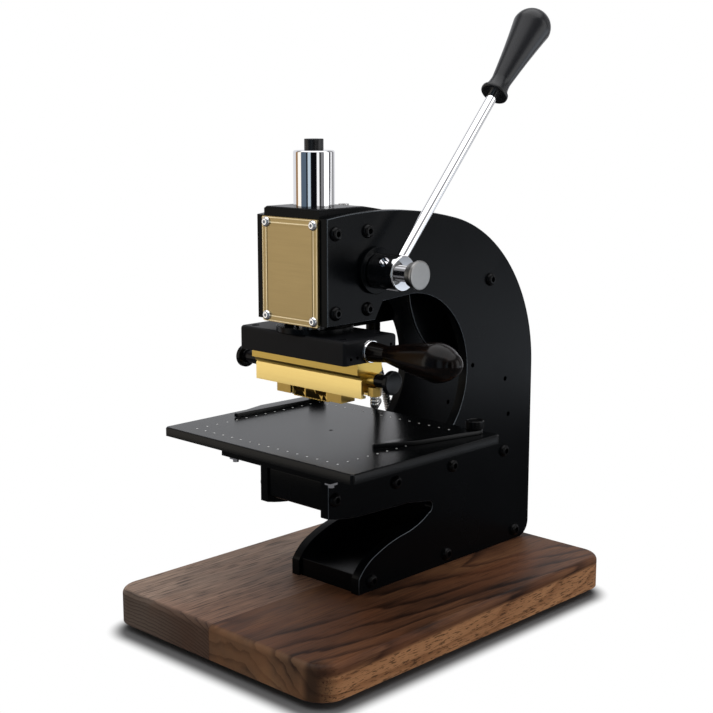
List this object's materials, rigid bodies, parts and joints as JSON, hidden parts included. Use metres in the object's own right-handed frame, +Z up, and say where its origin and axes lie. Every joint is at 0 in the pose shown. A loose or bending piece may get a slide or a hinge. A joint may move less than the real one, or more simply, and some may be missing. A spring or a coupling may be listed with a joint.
{
  "type": "hot stamping machine",
  "caption": "Hand lever bench press with a rack-driven heated head, a type holder and a sliding work table on a two-tone wooden base.",
  "frame": {"origin": "on the bench, under the middle of the wooden base", "axes": "+Z up, the operator stands at -Y facing the name plate, +X towards the side with the lever"},
  "size_m": [0.2528, 0.3286, 0.4678],
  "materials": {
    "walnut_grey": "oiled, straight grain",
    "walnut_red": "oiled, arched grain",
    "black_rubber": "matt",
    "frame_black": "satin",
    "table_black": "semi-gloss",
    "screw_black": "satin black oxide",
    "polished_chrome": "polished",
    "satin_steel": "satin",
    "spring_steel": "blued",
    "plate_bronze": "brushed",
    "gold_plate": "brushed and polished",
    "insulator_black": "fine matt",
    "dark_wood": "polished",
    "grip_grey": "satin",
    "black_plastic": "satin",
    "lead_armour": "wound steel armour",
    "type_brass": "machined",
    "heater_steel": "heat tinted"
  },
  "bodies": {
    "root": {"base_plank_left": "walnut_grey", "base_plank_right": "walnut_red", "rubber_feet": "black_rubber", "foot_screws": "satin_steel", "base_screws": "screw_black", "side_plate_left": "frame_black", "side_plate_right": "frame_black", "floor_plate": "frame_black", "jaw_block": "frame_black", "tie_bars": "satin_steel", "inner_web": "frame_black", "head_block": "frame_black", "name_plate": "plate_bronze", "name_plate_screws": "polished_chrome", "frame_screws_left": "screw_black", "frame_screws_right": "screw_black", "head_top_screw": "satin_steel", "bearing_flange_right": "frame_black", "spring_drum": "frame_black", "spring_drum_cover": "satin_steel", "return_spring": "spring_steel", "controller_box": "frame_black", "controller_cover": "frame_black", "inlet": "black_plastic", "lead_clip": "frame_black", "controller_lead": "lead_armour"},
    "lever": {"pinion": "satin_steel", "pinion_shaft": "satin_steel", "lever_hub": "polished_chrome", "lever_rod": "polished_chrome", "grip_collar": "black_plastic", "lever_grip": "grip_grey"},
    "ram": {"ram": "polished_chrome", "ram_cap": "black_plastic", "ram_flange": "frame_black", "flange_screws": "screw_black", "insulator_block": "insulator_black", "insulator_screws": "screw_black", "heating_plate": "gold_plate", "cartridge_heaters": "heater_steel", "heater_block": "gold_plate", "heater_fitting": "type_brass", "handle_ferrule": "polished_chrome", "handle_stud": "satin_steel", "side_handle": "dark_wood", "heater_lead": "lead_armour"},
    "type_holder": {"type_holder": "type_brass", "types": "type_brass"},
    "work_table": {"table_plate": "table_black", "under_plate": "frame_black", "table_screws": "polished_chrome"},
    "hub_knob": {"hub_knob": "satin_steel"},
    "clamp_knob_left": {"clamp_knob_left": "screw_black"},
    "clamp_knob_right": {"clamp_knob_right": "screw_black"},
    "guide_left": {"guide_left": "table_black"},
    "guide_right": {"guide_right": "table_black"},
    "guide_knob_left": {"guide_knob_left": "screw_black"},
    "guide_knob_right": {"guide_knob_right": "screw_black"},
    "thermostat_dial": {"thermostat_dial": "black_plastic"},
    "rocker_switch": {"rocker_switch": "black_plastic"}
  },
  "joints": [
    {"name": "lever_turn", "type": "hinge", "parent": "root", "child": "lever", "pos_m": [0, -0.0325, 0.276], "axis": [1, 0, 0], "range_deg": [0, 128.9], "stiffness_Nm_per_rad": 0.25, "springref_deg": -85.94},
    {"name": "ram_slide", "type": "slide", "parent": "root", "child": "ram", "axis": [0, 0, -1], "range_m": [0, 0.027], "deforming": ["heater_lead"]},
    {"name": "hub_knob_turn", "type": "hinge", "parent": "lever", "child": "hub_knob", "pos_m": [0.075, -0.0325, 0.276], "axis": [1, 0, 0], "range_deg": [-180, 180]},
    {"name": "clamp_knob_left_turn", "type": "hinge", "parent": "ram", "child": "clamp_knob_left", "pos_m": [-0.065, -0.0574, 0.202], "axis": [1, 0, 0], "range_deg": [-180, 180]},
    {"name": "clamp_knob_right_turn", "type": "hinge", "parent": "ram", "child": "clamp_knob_right", "pos_m": [0.065, -0.0574, 0.202], "axis": [1, 0, 0], "range_deg": [-180, 180]},
    {"name": "type_holder_slide", "type": "slide", "parent": "ram", "child": "type_holder", "axis": [-1, 0, 0], "range_m": [0, 0.105]},
    {"name": "table_slide", "type": "slide", "parent": "root", "child": "work_table", "axis": [0, 1, 0], "range_m": [-0.03, 0.003]},
    {"name": "guide_left_swing", "type": "hinge", "parent": "work_table", "child": "guide_left", "pos_m": [-0.084, 0.027, 0.154], "axis": [0, 0, 1], "range_deg": [-8, 60]},
    {"name": "guide_right_swing", "type": "hinge", "parent": "work_table", "child": "guide_right", "pos_m": [0.084, 0.027, 0.154], "axis": [0, 0, 1], "range_deg": [-35, 25]},
    {"name": "guide_knob_left_turn", "type": "hinge", "parent": "work_table", "child": "guide_knob_left", "pos_m": [-0.084, 0.027, 0.159], "axis": [0, 0, 1], "range_deg": [-180, 180]},
    {"name": "guide_knob_right_turn", "type": "hinge", "parent": "work_table", "child": "guide_knob_right", "pos_m": [0.084, 0.027, 0.159], "axis": [0, 0, 1], "range_deg": [-180, 180]},
    {"name": "dial_turn", "type": "hinge", "parent": "root", "child": "thermostat_dial", "pos_m": [-0.085, 0.05, 0.251], "axis": [-1, 0, 0], "range_deg": [0, 270]},
    {"name": "rocker_tilt", "type": "hinge", "parent": "root", "child": "rocker_switch", "pos_m": [-0.0805, 0.104, 0.251], "axis": [0, 1, 0], "range_deg": [-7, 7]}
  ],
  "couplings": [
    {"joint": "ram_slide", "follows": "lever_turn", "m_per_rad": 0.012}
  ]
}
